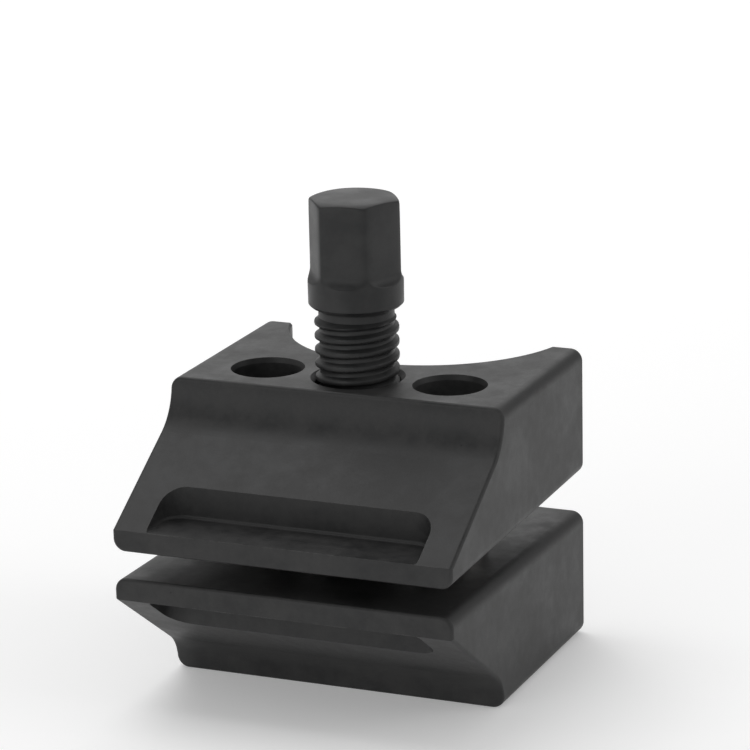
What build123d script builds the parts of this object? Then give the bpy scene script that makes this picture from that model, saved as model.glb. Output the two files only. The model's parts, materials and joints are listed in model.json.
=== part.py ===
from build123d import *

import math
import os

# A screw-operated jaw spreader in black-oxide steel.
# Two mirrored wedge-lipped jaws stand one over the other.  A hex-headed jack screw is threaded
# through the upper jaw and turns in the lower one, so turning it drives the jaws apart or together.
# Two guide pins pressed into the lower jaw keep the upper jaw square as it slides.
# Millimetres, +Z up, lips facing -Y.  The origin is the middle of the footprint, on the bottom face.

# ---- driving dimensions -------------------------------------------------------------------------
jaw_width = 40.0            # X, over both jaws
jaw_depth = 41.0            # Y, from the lip faces to the back
jaw_height = 15.6           # Z, each jaw at its lip
jaw_gap = 3.1               # between the lips as the jaws stand
gap_taper = 0.75            # each gap face falls away by this much from lip to back
overall_height = 55.0       # bottom face to the top of the hex head

lip_height = 2.5            # flat front of each wedge lip
upper_neck_setback = 15.7   # from the lip face back to the upright front of each jaw
lower_neck_setback = 14.6
upper_neck_height = 3.8     # upright front of each jaw, beyond the wedge
lower_neck_height = 3.0
upper_wedge_blend = 6.0     # concave radius where the wedge meets the upright front
lower_wedge_blend = 4.5
side_edge_round = 1.4       # long edges of both end faces
edge_round = 0.4            # every other sharp edge of the blank but the lip's outer one

pocket_half_width = 16.0    # shallow milled step in each wedge
pocket_depth = 6.2          # from the lip face back to the pocket wall
pocket_corner = 2.5
pocket_floor_round = 0.4

saddle_radius = 16.75       # hollow in the back of the upper jaw
saddle_setback = 28.25      # from the lip face to the deepest point of the hollow
saddle_edge_break = 0.25

screw_setback = 22.5        # from the lip face to the screw and pin axes
pin_spacing = 22.1          # between the two pin axes
pin_diameter = 7.9
pin_hole_diameter = 8.0     # sliding hole in the upper jaw
pin_seat_depth = 10.0       # pressed into the lower jaw
pin_end_chamfer = 0.6
hole_rim_diameter = 8.4     # the hole's edge is eased by a steep taper
hole_rim_depth = 0.6
closed_pin_recess = 0.2     # pin ends stay this far below the top face with the jaws shut

thread_diameter = 9.5       # 3/8 inch coarse thread, 16 turns to the inch
thread_relief_diameter = 8.4
thread_relief_length = 1.2
shank_chamfer = 0.5
thread_clearance = 0.08     # radial, in the upper jaw's bore
screw_countersink = 10.7    # rim diameter in the top face
hex_across_flats = 9.5
hex_top_flat = 8.9          # diameter of the flat left by the head's chamfer
hex_chamfer_angle = 30.0
hex_turn = 7.0              # from +X to the nearest corner, as the screw stands
flat_cutter_radius = 1.4    # round end that the milled flats run out with
collar_diameter = 10.7      # the head's blank, left round below the flats
collar_height = 4.1         # from the collar's lower face to the end of the straight flats
collar_edge_chamfer = 0.35
head_height = 12.4          # hex and collar together

journal_diameter = 6.0      # plain end of the screw, turning in the lower jaw
journal_clearance = 0.05    # radial
thrust_washer_diameter = 11.0
thrust_washer_thickness = 1.5
washer_seat_clearance = 0.1
keeper_bore_diameter = 10.6  # counterbore under the lower jaw
keeper_bore_depth = 3.4
keeper_washer_diameter = 9.8
keeper_washer_thickness = 0.8
axial_play = 0.05
ring_groove_diameter = 5.0
ring_thickness = 0.7
ring_outer_diameter = 8.0
ring_opening = 2.6          # gap between the ring's ends
ring_ear_diameter = 2.0
ring_eye_diameter = 1.0
journal_end_inset = 0.5     # the screw's lower end stays this far inside the bottom face

# ---- worked-out places --------------------------------------------------------------------------
front = -jaw_depth / 2
back = jaw_depth / 2
screw_y = front + screw_setback
upper_floor = jaw_height + jaw_gap
collar_bottom = overall_height - head_height
pin_x = (-pin_spacing / 2, pin_spacing / 2)
pin_top = jaw_height * 2 - closed_pin_recess
shank_end = jaw_height - gap_taper
washer_floor = shank_end - thrust_washer_thickness
keeper_top = keeper_bore_depth
keeper_washer_bottom = keeper_top - keeper_washer_thickness
groove_top = keeper_washer_bottom - axial_play
groove_bottom = groove_top - ring_thickness


def cylinder(radius, bottom, top, x=0.0, y=screw_y):
    """A round solid standing on `bottom`, on the screw axis unless told otherwise."""
    return Pos(x, y, bottom) * Cylinder(
        radius, top - bottom, align=(Align.CENTER, Align.CENTER, Align.MIN)
    )


def cone(bottom_radius, top_radius, bottom, top, x=0.0, y=screw_y):
    """A tapered round solid between two heights."""
    return Pos(x, y, bottom) * Cone(
        bottom_radius, top_radius, top - bottom, align=(Align.CENTER, Align.CENTER, Align.MIN)
    )


def sharp_edges(solid):
    """Edges where two faces meet at an angle; tangent joins and blends are left out."""
    least_turn = 20
    found = []
    for edge in solid.edges():
        first, second = [face for face in solid.faces() if edge in face.edges()]
        middle = edge @ 0.5
        if first.normal_at(middle).get_angle(second.normal_at(middle)) > least_turn:
            found.append(edge)
    return found


def jaw_blank(neck_setback, neck_height, wedge_blend):
    """The wedge-lipped block: lip at Z = 0 on the gap side, outer face at the top."""
    neck_y = front + neck_setback
    with BuildSketch(Plane.YZ) as profile:
        with BuildLine():
            Polyline(
                (front, 0),
                (front, lip_height),
                (neck_y, jaw_height - neck_height),
                (neck_y, jaw_height),
                (back, jaw_height),
                (back, gap_taper),
                close=True,
            )
        make_face()
        wedge_end = profile.vertices().sort_by_distance((neck_y, jaw_height - neck_height, 0))[0]
        fillet(wedge_end, wedge_blend)
    block = extrude(profile.sketch, jaw_width / 2, both=True)
    ends = block.faces().filter_by(Axis.X).sort_by(Axis.X)
    end_edges = ends[0].edges() + ends[-1].edges()
    block = fillet([edge for edge in end_edges if edge.length > jaw_depth / 2], side_edge_round)
    lip_edge = block.edges().sort_by_distance((0, front, lip_height))[0]
    return fillet([edge for edge in sharp_edges(block) if edge != lip_edge], edge_round)


def wedge_pocket():
    """The round-cornered cutter for the step in the wedge, level with the top of the lip."""
    run_in = 4 * pocket_corner
    length = pocket_depth + run_in
    plan = Pos(0, front + pocket_depth - length / 2) * RectangleRounded(
        2 * pocket_half_width, length, pocket_corner
    )
    cutter = extrude(Pos(0, 0, lip_height) * plan, jaw_height)
    return fillet(cutter.faces().sort_by(Axis.Z)[0].edges(), pocket_floor_round)


def make_upper_jaw():
    """Upper jaw: bored for the screw and the pins, hollowed at the back."""
    jaw = jaw_blank(upper_neck_setback, upper_neck_height, upper_wedge_blend) - wedge_pocket()
    saddle_y = front + saddle_setback + saddle_radius
    jaw -= cylinder(saddle_radius, -1, jaw_height + 1, y=saddle_y)
    saddle_edges = (
        jaw.edges()
        .filter_by(lambda e: abs(e.center().Y - back) < 1e-3 and abs(e.center().X) < jaw_width / 2 - 1)
        .filter_by(Axis.Z)
    )
    jaw = chamfer(saddle_edges, saddle_edge_break)
    bore = thread_diameter / 2 + thread_clearance
    rim = screw_countersink / 2
    jaw -= cylinder(bore, -1, jaw_height + 1)
    jaw -= cone(bore, rim, jaw_height - (rim - bore), jaw_height)
    hole = pin_hole_diameter / 2
    wide = hole_rim_diameter / 2
    for x in pin_x:
        jaw -= cylinder(hole, -1, jaw_height + 1, x=x)
        jaw -= cone(hole, wide, jaw_height - hole_rim_depth, jaw_height, x=x)
    return Pos(0, 0, upper_floor) * jaw


def make_lower_jaw():
    """Lower jaw: the blank turned over, with pin seats, washer seat, journal bore and counterbore."""
    jaw = jaw_blank(lower_neck_setback, lower_neck_height, lower_wedge_blend) - wedge_pocket()
    jaw = Pos(0, 0, jaw_height) * jaw.mirror(Plane.XY)
    for x in pin_x:
        jaw -= cylinder(pin_diameter / 2, jaw_height - pin_seat_depth, jaw_height + 1, x=x)
    seat = thrust_washer_diameter / 2 + washer_seat_clearance
    jaw -= cylinder(seat, washer_floor, jaw_height + 1)
    jaw -= cylinder(journal_diameter / 2 + journal_clearance, -1, jaw_height + 1)
    jaw -= cylinder(keeper_bore_diameter / 2, -1, keeper_top)
    return jaw


def make_guide_pin(x):
    """A ground pin with chamfered ends, pressed into the lower jaw."""
    pin = cylinder(pin_diameter / 2, jaw_height - pin_seat_depth, pin_top, x=x)
    ends = pin.faces().filter_by(Axis.Z)
    return chamfer(ends.edges(), pin_end_chamfer)


def flat_cutter():
    """One milled flat's cutter on the +X side: straight above, with a round end below."""
    apothem = hex_across_flats / 2
    flat_end = collar_bottom + collar_height
    middle = apothem + flat_cutter_radius
    straight = Pos(middle, 0, flat_end) * Box(
        2 * flat_cutter_radius,
        collar_diameter,
        head_height,
        align=(Align.CENTER, Align.CENTER, Align.MIN),
    )
    round_end = Pos(middle, 0, flat_end) * Rot(90, 0, 0) * Cylinder(flat_cutter_radius, collar_diameter)
    return straight + round_end


def make_jack_screw():
    """Jack screw: round head blank with six milled flats, threaded shank, grooved journal."""
    rim = collar_diameter / 2
    drop = (rim - hex_top_flat / 2) * math.tan(math.radians(hex_chamfer_angle))
    head = cylinder(rim, collar_bottom, overall_height - drop)
    head = chamfer(head.faces().sort_by(Axis.Z)[0].edges(), collar_edge_chamfer)
    head += cone(rim, hex_top_flat / 2, overall_height - drop, overall_height)
    first_flat = hex_turn + 30
    for turn in range(6):
        head -= Pos(0, screw_y) * Rot(0, 0, first_flat + 60 * turn) * flat_cutter()
    relief_end = collar_bottom - thread_relief_length
    screw = head + cylinder(thread_relief_diameter / 2, relief_end, collar_bottom)
    shank = cylinder(thread_diameter / 2, shank_end, relief_end)
    screw += chamfer(shank.faces().filter_by(Axis.Z).edges(), shank_chamfer)
    journal = cylinder(journal_diameter / 2, journal_end_inset, shank_end)
    screw += chamfer(journal.faces().sort_by(Axis.Z)[0].edges(), collar_edge_chamfer)
    groove = cylinder(journal_diameter, groove_bottom, groove_top)
    screw -= groove - cylinder(ring_groove_diameter / 2, groove_bottom, groove_top)
    return screw


def make_washer(outer_diameter, bottom, top):
    """A flat washer round the journal."""
    hole = journal_diameter / 2 + journal_clearance
    return cylinder(outer_diameter / 2, bottom, top) - cylinder(hole, bottom, top)


def make_retaining_ring():
    """An open spring ring with two eyed ears, sprung into the journal's groove."""
    ring = cylinder(ring_outer_diameter / 2, groove_bottom, groove_top)
    ring -= cylinder(ring_groove_diameter / 2, groove_bottom, groove_top)
    slot_length = ring_outer_diameter
    ring -= Pos(0, screw_y + slot_length / 2, groove_bottom) * Box(
        ring_opening, slot_length, ring_thickness, align=(Align.CENTER, Align.CENTER, Align.MIN)
    )
    ear_x = ring_opening / 2 + ring_ear_diameter / 2
    ear_y = screw_y + ring_outer_diameter / 2 - ring_ear_diameter / 2 + ring_eye_diameter / 4
    for x in (-ear_x, ear_x):
        ring += cylinder(ring_ear_diameter / 2, groove_bottom, groove_top, x=x, y=ear_y)
        ring -= cylinder(ring_eye_diameter / 2, groove_bottom, groove_top, x=x, y=ear_y)
    return ring


nodes = {
    "upper_jaw": make_upper_jaw(),
    "lower_jaw": make_lower_jaw(),
    "guide_pin_left": make_guide_pin(pin_x[0]),
    "guide_pin_right": make_guide_pin(pin_x[1]),
    "jack_screw": make_jack_screw(),
    "thrust_washer": make_washer(thrust_washer_diameter, washer_floor, shank_end),
    "keeper_washer": make_washer(keeper_washer_diameter, keeper_washer_bottom, keeper_top),
    "retaining_ring": make_retaining_ring(),
}

os.makedirs("parts", exist_ok=True)
for name, solid in nodes.items():
    export_step(solid, f"parts/{name}.step")
    box = solid.bounding_box()
    print(name, "solids", len(solid.solids()), "volume", round(solid.volume, 1), box.min, box.max)
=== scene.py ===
# %% [markdown]
# # A screw jaw spreader in black-oxide steel
# Two wedge-lipped jaws stand one over the other, and a hex-headed screw drives them apart.  The
# solid model of the tool is loaded first and gives every size and place below, so nothing here is
# fitted by eye.  Each step says what the piece is, how it could be made, and why it is made so.

# %% Load the solid model
import json
import math

import bmesh
import bpy
import numpy as np
from mathutils import Matrix, Vector


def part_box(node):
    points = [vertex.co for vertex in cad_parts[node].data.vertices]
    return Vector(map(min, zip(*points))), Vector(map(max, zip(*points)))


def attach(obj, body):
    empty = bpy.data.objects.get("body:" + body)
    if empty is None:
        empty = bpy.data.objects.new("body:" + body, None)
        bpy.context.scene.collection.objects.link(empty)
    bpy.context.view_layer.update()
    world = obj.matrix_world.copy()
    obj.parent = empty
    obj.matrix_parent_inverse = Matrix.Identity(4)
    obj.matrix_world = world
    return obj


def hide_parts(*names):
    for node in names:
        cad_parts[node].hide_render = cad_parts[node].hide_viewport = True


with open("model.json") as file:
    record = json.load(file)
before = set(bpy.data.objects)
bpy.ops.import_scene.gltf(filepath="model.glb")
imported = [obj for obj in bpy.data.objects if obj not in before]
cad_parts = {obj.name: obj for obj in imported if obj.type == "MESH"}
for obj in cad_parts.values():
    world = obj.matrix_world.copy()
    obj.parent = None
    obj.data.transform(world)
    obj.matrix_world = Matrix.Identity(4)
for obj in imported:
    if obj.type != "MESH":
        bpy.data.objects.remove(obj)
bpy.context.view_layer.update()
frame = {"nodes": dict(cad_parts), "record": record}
MM = 0.001
print("nodes:", ", ".join(sorted(frame["nodes"])))

# %% [markdown]
# ## Writing shader sums as Python
# A finish is a sum of patterns: cloudy oxide, plus grain, plus wear.  Wiring that by hand takes a
# screen of boxes.  This class wraps one output socket and adds a Math node for each operator, so
# `1 - wear * 0.3` reads as it would on paper.  Every other kind of node comes from `node`.

# %% A socket that can be used in sums
class Wire:
    """One output socket of a material's node tree."""

    def __init__(self, socket):
        self.socket = socket

    @classmethod
    def node(cls, tree, kind, settings=None, inputs=None, output=0):
        """Adds a node, sets its options first, then gives its sockets values or links."""
        made = tree.nodes.new(kind)
        for name, value in (settings or {}).items():
            setattr(made, name, value)
        for name, value in (inputs or {}).items():
            if isinstance(value, cls):
                tree.links.new(value.socket, made.inputs[name])
            else:
                made.inputs[name].default_value = value
        return cls(made.outputs[output]) if output is not None else None

    def output(self, name):
        """Another output of the node that this wire comes from."""
        return Wire(self.socket.node.outputs[name])

    def math(self, operation, first, second):
        """A Math node that works on two wires or numbers."""
        return Wire.node(
            self.socket.id_data, "ShaderNodeMath", {"operation": operation}, {0: first, 1: second}
        )

    def __add__(self, other):
        return self.math("ADD", self, other)

    def __radd__(self, other):
        return self.math("ADD", other, self)

    def __sub__(self, other):
        return self.math("SUBTRACT", self, other)

    def __rsub__(self, other):
        return self.math("SUBTRACT", other, self)

    def __mul__(self, other):
        return self.math("MULTIPLY", self, other)

    def __rmul__(self, other):
        return self.math("MULTIPLY", other, self)

    def step(self, low, high):
        """0 below low, 1 above high, and a smooth rise between them."""
        return Wire.node(
            self.socket.id_data,
            "ShaderNodeMapRange",
            {"interpolation_type": "SMOOTHSTEP"},
            {"Value": self, "From Min": low, "From Max": high},
        )


MIX_FACTOR, MIX_FIRST, MIX_SECOND, MIX_RESULT = 0, 6, 7, 2  # a Mix node's colour sockets by number


def mix_colour(factor, first, second):
    """From the first colour to the second as the factor goes from 0 to 1."""
    return Wire.node(
        factor.socket.id_data,
        "ShaderNodeMix",
        {"data_type": "RGBA"},
        {MIX_FACTOR: factor, MIX_FIRST: first, MIX_SECOND: second},
        output=MIX_RESULT,
    )


def grey(value, tint=0.0):
    """A linear grey, a little warmer with a positive tint and cooler with a negative one."""
    return (value * (1 + tint), value, value * (1 - tint), 1.0)


print("shader sums ready")

# %% [markdown]
# ## Patterns that belong to machined steel
# Blackened steel is never one tone.  The oxide takes in soft clouds a few millimetres across, with
# a fine grain of crystals on top, and the cutter leaves faint parallel lines.  All three are noise
# read in the object's own coordinates, in metres, so a scale of 1000 is a pattern of one
# millimetre.  Stretching the coordinates along one axis turns round grains into lines.

# %% Pattern helpers
def new_finish(name):
    """An empty material and its tree, with the object's coordinates as a wire."""
    material = bpy.data.materials.new(name)
    material.use_nodes = True
    tree = material.node_tree
    tree.nodes.clear()
    place = Wire.node(tree, "ShaderNodeTexCoord", output="Object")
    return material, tree, place


def noise(place, size_mm, detail=3.0, roughness=0.55, stretch=(1.0, 1.0, 1.0)):
    """Noise whose blobs are size_mm across; a stretch under 1 draws them out along that axis."""
    tree = place.socket.id_data
    drawn = Wire.node(tree, "ShaderNodeMapping", {}, {"Vector": place, "Scale": stretch})
    return Wire.node(
        tree,
        "ShaderNodeTexNoise",
        {},
        {"Vector": drawn, "Scale": 1 / (size_mm * MM), "Detail": detail, "Roughness": roughness},
    )


def pits(place, spacing_mm, radius_mm, share):
    """Small round marks in a share of the cells of a spacing_mm lattice; 1 inside a mark."""
    tree = place.socket.id_data
    cells = Wire.node(
        tree,
        "ShaderNodeTexVoronoi",
        {"feature": "F1"},
        {"Vector": place, "Scale": 1 / (spacing_mm * MM), "Randomness": 1.0},
    )
    reach = radius_mm / spacing_mm
    inside = 1 - cells.step(reach * 0.4, reach)
    chance = Wire.node(tree, "ShaderNodeSeparateColor", {}, {"Color": cells.output("Color")})
    return inside * chance.step(1 - share, 1 - share * 0.8)


def edge_mask(tree, radius_mm):
    """How far the surface turns within radius_mm: 0 on a flat, towards 1 on an edge."""
    rounded = Wire.node(tree, "ShaderNodeBevel", {"samples": 6}, {"Radius": radius_mm * MM})
    flat = Wire.node(tree, "ShaderNodeNewGeometry", output="Normal")
    agree = Wire.node(
        tree,
        "ShaderNodeVectorMath",
        {"operation": "DOT_PRODUCT"},
        {0: rounded, 1: flat},
        output="Value",
    )
    return 1 - agree


def bump(height, distance_mm):
    """A bump of the given height pattern, distance_mm deep where it runs from 0 to 1."""
    inputs = {"Height": height, "Distance": distance_mm * MM, "Strength": 1.0}
    return Wire.node(height.socket.id_data, "ShaderNodeBump", {}, inputs)


def finish_with(material, constants, **varying):
    """Gives the material one Principled shader: fixed values first, then the wired ones."""
    tree = material.node_tree
    shader = Wire.node(tree, "ShaderNodeBsdfPrincipled", {}, constants | varying)
    Wire.node(tree, "ShaderNodeOutputMaterial", {}, {"Surface": shader}, output=None)
    return material


print("patterns ready")

# %% [markdown]
# ## Black oxide on milled steel: the jaws
# Black oxide is a skin of magnetite a micron thick, sealed with oil.  It is nearly black, it isn't
# a mirror, and it reflects most at a glancing angle.  A metallic shader would shine the same from
# everywhere, so this is a dark non-metal with an oil-like index.  Only worn edges turn metallic.

# %% Jaw finish
OXIDE_INDEX = 1.40
EDGE_SHARE = 0.5


def jaw_finish():
    """Dark oxide whose clouds change both its grey and its gloss, with rare pits and worn edges."""
    material, tree, place = new_finish("black_oxide_milled")
    clouds = noise(place, 6.0, detail=5.0, roughness=0.6).step(0.36, 0.64)
    mottle = noise(place, 1.4, detail=4.0, roughness=0.65).step(0.30, 0.70)
    grain = noise(place, 0.16, detail=2.0)
    lines = noise(place, 0.22, detail=2.0, stretch=(1.0, 0.03, 1.0))
    marks = pits(place, 2.6, 0.17, 0.06)
    worn = edge_mask(tree, 0.20).step(0.05, 0.30) * (mottle * 0.5 + grain).step(0.66, 0.98)
    tone = clouds * 0.55 + mottle * 0.45
    oxide = mix_colour(tone, grey(0.0115, -0.03), grey(0.030, 0.01))
    pitted = mix_colour(marks, oxide, grey(0.005))
    bare = worn * EDGE_SHARE
    colour = mix_colour(bare, pitted, grey(0.16, 0.02))
    gloss = 0.37 + tone * 0.17 + grain * 0.08 - worn * 0.08
    height = grain * 0.55 + lines * 0.35 + mottle * 0.5 - marks * 1.4
    return finish_with(
        material,
        {"IOR": OXIDE_INDEX},
        **{
            "Base Color": colour,
            "Roughness": gloss,
            "Metallic": bare,
            "Normal": bump(height, 0.007),
        },
    )


# %% [markdown]
# ## The screw: the same oxide over turned steel
# A lathe leaves rings round the axis instead of straight lines.  The screw stands along Z, so a
# noise drawn out in X and Y and fine in Z gives those rings on every turned face at once.  The
# thread's crests rub in the jaw, so the oxide there thins towards bright steel in places.

# %% Screw finish
CREST_SHARE = 0.6


def screw_finish():
    """Darker oxide with turned rings, rubbed through here and there on its edges and crests."""
    material, tree, place = new_finish("black_oxide_turned")
    clouds = noise(place, 4.0, detail=4.0)
    grain = noise(place, 0.12, detail=2.0)
    rings = noise(place, 0.10, detail=2.0, stretch=(0.02, 0.02, 1.0))
    worn = edge_mask(tree, 0.12).step(0.10, 0.40) * (clouds + grain * 0.6).step(0.72, 0.98)
    tone = clouds.step(0.32, 0.68)
    oxide = mix_colour(tone, grey(0.010, -0.03), grey(0.024, 0.0))
    bare = worn * CREST_SHARE
    colour = mix_colour(bare, oxide, grey(0.20, 0.02))
    return finish_with(
        material,
        {"IOR": OXIDE_INDEX},
        **{
            "Base Color": colour,
            "Roughness": 0.36 + grain * 0.08 + tone * 0.12,
            "Metallic": bare,
            "Normal": bump(grain * 0.6 + rings * 0.5, 0.005),
        },
    )


# %% [markdown]
# ## Bare steel inside: pins, washers and ring
# The guide pins are ground and bright, the washers turned and a little stained by oil, and the
# ring is grey phosphated spring steel.  One function makes all three from four numbers: how
# bright, how rough, how metallic and how fine its rings are.

# %% Bare steel finishes
BARE_INDEX = 1.6
STAIN_DIMMING = 0.80


def bare_finish(name, bright, rough, metallic, ring_mm):
    """Bare or phosphated steel with fine rings ring_mm apart round the vertical axis."""
    material, tree, place = new_finish(name)
    stain = noise(place, 2.5, detail=4.0).step(0.30, 0.76)
    grain = noise(place, 0.10, detail=2.0)
    rings = noise(place, ring_mm, detail=2.0, stretch=(0.03, 0.03, 1.0))
    clean, dull = grey(bright, 0.01), grey(bright * STAIN_DIMMING, 0.03)
    return finish_with(
        material,
        {"IOR": BARE_INDEX, "Metallic": metallic},
        **{
            "Base Color": mix_colour(stain, clean, dull),
            "Roughness": rough + stain * 0.12 + grain * 0.06,
            "Normal": bump(rings * 0.7 + grain * 0.4, 0.004),
        },
    )


finishes = {
    "jaw_steel": jaw_finish(),
    "screw_steel": screw_finish(),
    "pin_steel": bare_finish("ground_steel", 0.55, 0.20, 1.0, 0.06),
    "washer_steel": bare_finish("turned_steel", 0.42, 0.30, 1.0, 0.10),
    "ring_steel": bare_finish("phosphated_spring_steel", 0.045, 0.50, 0.3, 0.20),
}
print("finishes:", ", ".join(finishes))

# %% [markdown]
# ## The jaws, pins, washers and ring keep their solid shape
# Their fillets, holes and steps are already in the solid model at full precision, so nothing is
# rebuilt: each part's material slots simply take their finish.

# %% Finish the parts that keep their shape
slot_of = {entry["node"]: entry["material_slot"] for entry in frame["record"]["subparts"]}
for name, part in frame["nodes"].items():
    for material_slot in part.material_slots:
        material_slot.material = finishes[slot_of[name]]
    print(name, "wears", slot_of[name])

# %% [markdown]
# ## Surfaces from arrays
# The screw is made anew, because its thread, its milled flats and its run-outs are what the eye
# goes to.  It is a grid of points: one direction goes round the screw, the other along it, and both
# are worked out as whole arrays.  A turned stretch has a level ring in each row.  A ring's last
# point joins its first.

# %% Sizes of the screw, taken from its solid
screw_low, screw_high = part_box("jack_screw")
ring_low, ring_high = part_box("retaining_ring")
axis_x = (screw_low.x + screw_high.x) / 2
axis_y = (screw_low.y + screw_high.y) / 2
head_radius = (screw_high.x - screw_low.x) / 2
head_top, screw_end = screw_high.z, screw_low.z
shank_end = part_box("thrust_washer")[1].z
print("screw axis at y =", round(axis_y / MM, 2), "mm")
print("head radius", round(head_radius / MM, 2), "mm")

# %% Grids that go round the screw
COLUMNS = 192
FIRST_CORNER = math.radians(7.0)
angles = FIRST_CORNER + np.arange(COLUMNS) * 2 * math.pi / COLUMNS


def round_grid(radii, heights):
    """Points on circles: x is radius times cosine, y is radius times sine, z is the height."""
    radii, heights = np.broadcast_arrays(radii, heights)
    x = axis_x + radii * np.cos(angles)
    y = axis_y + radii * np.sin(angles)
    return np.stack([x, y, heights + 0 * angles], -1)


def quads(lower, upper):
    """Faces between a row of point numbers and the row above it, turned to face outwards."""
    corners = [lower[..., :-1], lower[..., 1:], upper[..., 1:], upper[..., :-1]]
    return np.stack(corners, -1).reshape(-1, 4)


def ring_faces(rows, first=0):
    """Quads between neighbouring level rings; each ring's first point is used again as its last."""
    numbers = first + np.arange(rows * COLUMNS).reshape(rows, COLUMNS)
    closed = np.concatenate([numbers, numbers[:, :1]], 1)
    return quads(closed[:-1], closed[1:])


print(COLUMNS, "points to a ring")

# %% [markdown]
# ## The head: a round blank with six milled flats
# The real head is a turned blank whose six flats are cut by the side of a round-ended cutter, so
# each flat runs out in a scoop and its corners are slivers of the round blank.  The same is done
# here with numbers: the radius at each point is the smallest of the blank, the nearest flat and the
# crowned top, and the choice between them is softened a little, as tumbling does.

# %% Radius of the head at an angle and a height
FLAT_DISTANCE = 9.5 / 2 * MM
CUTTER_RADIUS = 1.4 * MM
COLLAR_HEIGHT = 4.1 * MM
HEAD_HEIGHT = 12.4 * MM
CROWN_DROP = 0.52 * MM
CROWN_POWER = 6
CROWN_START = 4.2 * MM
CROWN_REACH = 1.08
CORNER_SOFTNESS = 0.32 * MM
CROWN_EDGE_SOFTNESS = CORNER_SOFTNESS * 0.8
SOFTNESS_LOST_IN_SCOOP = 0.85
SCOOP_ROWS, FLAT_ROWS, CROWN_ROWS = 20, 8, 24
collar_bottom = head_top - HEAD_HEIGHT
flat_end = collar_bottom + COLLAR_HEIGHT


def softened_least(first, second, softness):
    """The smaller of two lengths, with the corner where they cross rounded off."""
    return (first + second - np.sqrt((first - second) ** 2 + softness**2)) / 2


def crown_drop(radius):
    """Height lost towards the top's edge: grows with the sixth power of the radius."""
    return CROWN_DROP * (radius / head_radius) ** CROWN_POWER


def head_radii(heights):
    """Least of three: the blank; flat distance over cosine of the turn from it; the crowned top.

    Below flat_end the flat moves outwards by the cutter's round end: radius less the square root of
    radius squared less depth squared.  There its corners also sharpen, so the collar stays round.
    """
    turn = np.mod(angles - FIRST_CORNER, math.pi / 3) - math.pi / 6
    depth = np.clip(flat_end - heights, 0, CUTTER_RADIUS)
    distance = FLAT_DISTANCE + CUTTER_RADIUS - np.sqrt(CUTTER_RADIUS**2 - depth**2)
    flats = distance / np.cos(turn)
    share = np.maximum(head_top - heights, 0) / CROWN_DROP
    crown = head_radius * share ** (1 / CROWN_POWER)
    softness = CORNER_SOFTNESS * (1 - SOFTNESS_LOST_IN_SCOOP * depth / CUTTER_RADIUS)
    radii = softened_least(flats, head_radius + 0 * flats, softness)
    return softened_least(radii, crown + 0 * flats, CROWN_EDGE_SOFTNESS)


scoop = flat_end - np.linspace(CUTTER_RADIUS, 0, SCOOP_ROWS)
crown_run = head_top - crown_drop(np.linspace(CROWN_REACH * head_radius, CROWN_START, CROWN_ROWS))
flat_run = np.linspace(flat_end, crown_run[0], FLAT_ROWS)[1:-1]
head_heights = np.concatenate([scoop, flat_run, crown_run])[:, None]
head_grid = round_grid(head_radii(head_heights), head_heights)
print("head has", len(head_heights), "rings of", COLUMNS, "points")

# %% [markdown]
# ## The thread: one profile carried up a helix
# The thread is 3/8 inch, sixteen turns to the inch.  Level rings would cut its flanks into steps,
# so each row climbs one pitch per turn instead, and the end of a row meets the start of the row one
# pitch of rows above.  At both ends the profile is squeezed between a floor and a ceiling that meet
# at the neighbouring round stretch, which is how a die runs in and out.

# %% Thread points
PITCH = 25.4 / 16 * MM
CREST_RADIUS = 9.5 / 2 * MM - 0.02 * MM
ROOT_RADIUS = 4.20 * MM
CREST_HEIGHT_AT_X = 0.18 * MM
RELIEF_RADIUS = 8.5 / 2 * MM
RELIEF_LENGTH = 1.2 * MM
RUN_IN_RADIUS = 3.9 * MM
ROWS_PER_PITCH = 14
SPARE_PITCHES = 4
STEEPNESS = 1.35
STRAIGHTNESS = 0.72
RUN_OUT_SLOPE = 0.7
thread_low, thread_high = shank_end, collar_bottom - RELIEF_LENGTH


def thread_profile(phase):
    """Radius over one pitch: a cosine from crest to root, steepened and cut off at its limits."""
    wave = np.cos(2 * math.pi * phase)
    steep = np.clip(wave * STEEPNESS, -1, 1)
    rounded = STRAIGHTNESS * steep + (1 - STRAIGHTNESS) * np.sin(steep * math.pi / 2)
    return (CREST_RADIUS + ROOT_RADIUS) / 2 + rounded * (CREST_RADIUS - ROOT_RADIUS) / 2


pitches = int((thread_high - thread_low) / PITCH) + SPARE_PITCHES
start = math.floor(thread_low / PITCH - 1) * PITCH + CREST_HEIGHT_AT_X
row = np.arange(pitches * ROWS_PER_PITCH)[:, None] / ROWS_PER_PITCH
climb = angles / (2 * math.pi) * PITCH
thread_heights = np.clip(start + row * PITCH + climb, thread_low, thread_high)
from_low, from_high = thread_heights - thread_low, thread_high - thread_heights
ceiling = np.minimum(RUN_IN_RADIUS + from_low, RELIEF_RADIUS + from_high)
from_low, from_high = from_low * RUN_OUT_SLOPE, from_high * RUN_OUT_SLOPE
bottom = np.maximum(RUN_IN_RADIUS - from_low, RELIEF_RADIUS - from_high)
thread_radii = np.clip(thread_profile(row + 0 * angles), bottom, np.maximum(ceiling, bottom))
thread_grid = np.stack(
    [
        axis_x + thread_radii * np.cos(angles),
        axis_y + thread_radii * np.sin(angles),
        thread_heights,
    ],
    -1,
)
thread_numbers = np.arange(thread_grid.shape[0] * COLUMNS).reshape(-1, COLUMNS)
one_pitch_up = thread_numbers[ROWS_PER_PITCH:, :1]
helix_numbers = np.concatenate([thread_numbers[:-ROWS_PER_PITCH], one_pitch_up], 1)
thread_faces = quads(helix_numbers[:-1], helix_numbers[1:])
print("thread has", pitches, "pitches and", len(thread_faces), "faces")

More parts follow.
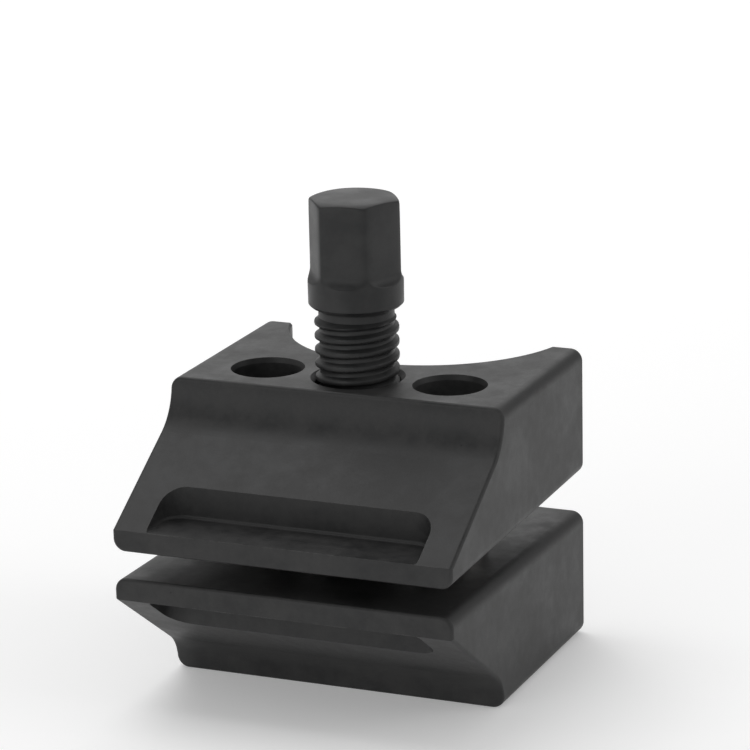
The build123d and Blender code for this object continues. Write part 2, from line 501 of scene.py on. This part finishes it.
# %% [markdown]
# ## Neck, collar and journal
# Above the thread a short neck opens into the collar by a coned fillet.  Below it the plain journal
# turns in the lower jaw, with a groove for the retaining ring near its end.  Both are turned, so a
# short list of radius and height pairs is their whole shape, spun round the axis.

# %% Turned stretches
JOURNAL_RADIUS = 3.0 * MM
GROOVE_RADIUS = 2.5 * MM
END_CHAMFER = 0.35 * MM
COLLAR_CHAMFER = 0.35 * MM
NECK_FILLET = 0.55 * MM
CAP_RINGS = 6
CAP_SHARE = 0.97
neck_turn = np.linspace(0, math.pi / 2, 8)
neck_radii = RELIEF_RADIUS + NECK_FILLET * (1 - np.cos(neck_turn))
neck_heights = collar_bottom - NECK_FILLET * (1 - np.sin(neck_turn))
collar_radii = [head_radius - COLLAR_CHAMFER, head_radius - 0.08 * MM, head_radius - 0.02 * MM]
collar_heights = collar_bottom + np.array([0.02, 0.27, 0.36]) * MM
journal_pairs = np.array(
    [
        (0.0, screw_end),
        (JOURNAL_RADIUS - END_CHAMFER, screw_end),
        (JOURNAL_RADIUS, screw_end + END_CHAMFER),
        (JOURNAL_RADIUS, ring_low.z),
        (GROOVE_RADIUS, ring_low.z),
        (GROOVE_RADIUS, ring_high.z),
        (JOURNAL_RADIUS, ring_high.z),
        (JOURNAL_RADIUS, shank_end),
        (RUN_IN_RADIUS, shank_end),
    ]
)
neck_pairs = np.stack(
    [
        np.concatenate([[RELIEF_RADIUS], neck_radii, collar_radii]),
        np.concatenate([[thread_high], neck_heights, collar_heights]),
    ],
    -1,
)
cap_radii = np.linspace(1, 0, CAP_RINGS)[1:, None] * CROWN_START * CAP_SHARE
journal_grid = round_grid(journal_pairs[:, :1], journal_pairs[:, 1:])
neck_grid = round_grid(neck_pairs[:, :1], neck_pairs[:, 1:])
cap_grid = round_grid(cap_radii, head_top - crown_drop(cap_radii))
print("turned rings:", len(journal_grid), "below and", len(neck_grid), "above the thread")

# %% [markdown]
# ## One closed skin
# The journal, the thread and the head are three sheets of quads whose edge rings coincide.  Laid in
# one list and with their doubled points merged, they make a single watertight screw, and the print
# proves it: no edge is left with one face only.

# %% Join the stretches into one closed surface
MERGE_DISTANCE = 0.002 * MM
SMOOTH_BELOW = math.radians(28)
upper_grid = np.concatenate([neck_grid, head_grid, cap_grid])
stretches = [journal_grid, thread_grid, upper_grid]
starts = np.cumsum([0] + [grid.shape[0] * COLUMNS for grid in stretches])
points = np.concatenate([grid.reshape(-1, 3) for grid in stretches])
faces = np.concatenate(
    [
        ring_faces(len(journal_grid), starts[0]),
        thread_faces + starts[1],
        ring_faces(len(upper_grid), starts[2]),
    ]
)


def closed_mesh(name, points, faces, finish):
    """A mesh piece whose doubled points are merged, so its poles and joins are closed."""
    mesh = bpy.data.meshes.new(name)
    mesh.from_pydata(points.tolist(), [], faces.tolist())
    work = bmesh.new()
    work.from_mesh(mesh)
    bmesh.ops.remove_doubles(work, verts=work.verts, dist=MERGE_DISTANCE)
    bmesh.ops.recalc_face_normals(work, faces=work.faces)
    open_edges = sum(not edge.is_manifold for edge in work.edges)
    work.to_mesh(mesh)
    work.free()
    mesh.shade_smooth()
    mesh.set_sharp_from_angle(angle=SMOOTH_BELOW)
    mesh.materials.append(finishes[finish])
    piece = bpy.data.objects.new(name, mesh)
    bpy.context.scene.collection.objects.link(piece)
    print(name, "has", len(mesh.polygons), "faces and", open_edges, "open edges")
    return piece


screw = closed_mesh("threaded_jack_screw", points, faces, "screw_steel")
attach(screw, "screw")
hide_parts("jack_screw")

# %% [markdown]
# ## The camera
# The camera stands to the front right and a little above, as one would hold the tool to look at its
# lips.  Its lens is long, so the jaws' edges stay nearly parallel, and a shift of the film moves the
# tool down the frame without tilting its upright edges.

# %% Camera
TARGET = Vector((0.0, 0.0, 27.5)) * MM
VIEW_AZIMUTH = math.radians(23.62)
VIEW_ELEVATION = math.radians(17.17)
VIEW_ROLL = math.radians(-1.42)
VIEW_DISTANCE = 411.6 * MM
FILM_WIDTH = 36.0
FRAMES_PER_FOCAL_LENGTH = 4.915
SHIFT = (0.0301, 0.0857)
CLIP_START = 10 * MM

camera_data = bpy.data.cameras.new("camera")
camera_data.sensor_width = FILM_WIDTH
camera_data.lens = FILM_WIDTH * FRAMES_PER_FOCAL_LENGTH
camera_data.shift_x, camera_data.shift_y = SHIFT
camera_data.clip_start = CLIP_START
camera = bpy.data.objects.new("camera", camera_data)
bpy.context.scene.collection.objects.link(camera)
level = math.cos(VIEW_ELEVATION)
towards_camera = Vector(
    (math.sin(VIEW_AZIMUTH) * level, -math.cos(VIEW_AZIMUTH) * level, math.sin(VIEW_ELEVATION))
)
camera.location = TARGET + towards_camera * VIEW_DISTANCE
facing = (-towards_camera).to_track_quat("-Z", "Y").to_matrix()
camera.rotation_euler = (facing @ Matrix.Rotation(VIEW_ROLL, 3, "Z")).to_euler()
bpy.context.scene.camera = camera
print("lens", round(camera_data.lens, 1), "mm")
print("camera at", [round(x / MM) for x in camera.location], "mm")

# %% [markdown]
# ## The table and the light
# Small black parts are shot on a sheet of white acrylic that is lit from below as well as above, so
# they throw almost no shadow and their undersides don't drown.  The table here glows a little for
# that reason.  Black steel shows its shape by what it mirrors, so the lamps are large and soft: one
# low behind for the top faces, one overhead for the wedge, one on each side, and one low in front
# for the lips.

# %% Table and lamps
TABLE_HALF = 2.0
TABLE_GLOW = 0.22
ROOM_LIGHT = 0.42
floor_mesh = bpy.data.meshes.new("table")
floor_corners = np.array([(-1, -1, 0), (1, -1, 0), (1, 1, 0), (-1, 1, 0)]) * TABLE_HALF
floor_mesh.from_pydata(floor_corners.tolist(), [], [(0, 1, 2, 3)])
table = bpy.data.objects.new("table", floor_mesh)
bpy.context.scene.collection.objects.link(table)
acrylic = new_finish("white_acrylic")[0]
glow = {"Emission Color": grey(1.0), "Emission Strength": TABLE_GLOW}
white = {"Base Color": grey(0.9), "Roughness": 0.9}
floor_mesh.materials.append(finish_with(acrylic, white | glow))


def softbox(name, azimuth, elevation, distance, size, power):
    """A square lamp that faces the tool from a direction: azimuth 0 is the front, 90 the right."""
    turn, rise = math.radians(azimuth), math.radians(elevation)
    out = Vector(
        (math.sin(turn) * math.cos(rise), -math.cos(turn) * math.cos(rise), math.sin(rise))
    )
    light = bpy.data.lights.new(name, "AREA")
    light.size = size
    light.energy = power
    lamp = bpy.data.objects.new(name, light)
    bpy.context.scene.collection.objects.link(lamp)
    lamp.location = TARGET + out * distance
    lamp.rotation_euler = out.to_track_quat("Z", "Y").to_euler()
    print(name, "shines", power, "W from", azimuth, "degrees round and", elevation, "up")


softbox("back_lamp", 204, 32, 0.8, 0.7, 1.3)
softbox("overhead_lamp", 250, 70, 0.9, 0.6, 2.3)
softbox("right_lamp", 100, 25, 0.9, 0.5, 1.2)
softbox("left_lamp", 280, 20, 0.9, 0.5, 0.3)
softbox("front_lamp", 340, 12, 1.0, 0.6, 1.5)
world = bpy.data.worlds.new("studio")
world.use_nodes = True
room = world.node_tree.nodes["Background"]
room.inputs["Color"].default_value = grey(1.0)
room.inputs["Strength"].default_value = ROOM_LIGHT
bpy.context.scene.world = world
bpy.context.scene.view_settings.view_transform = "Standard"
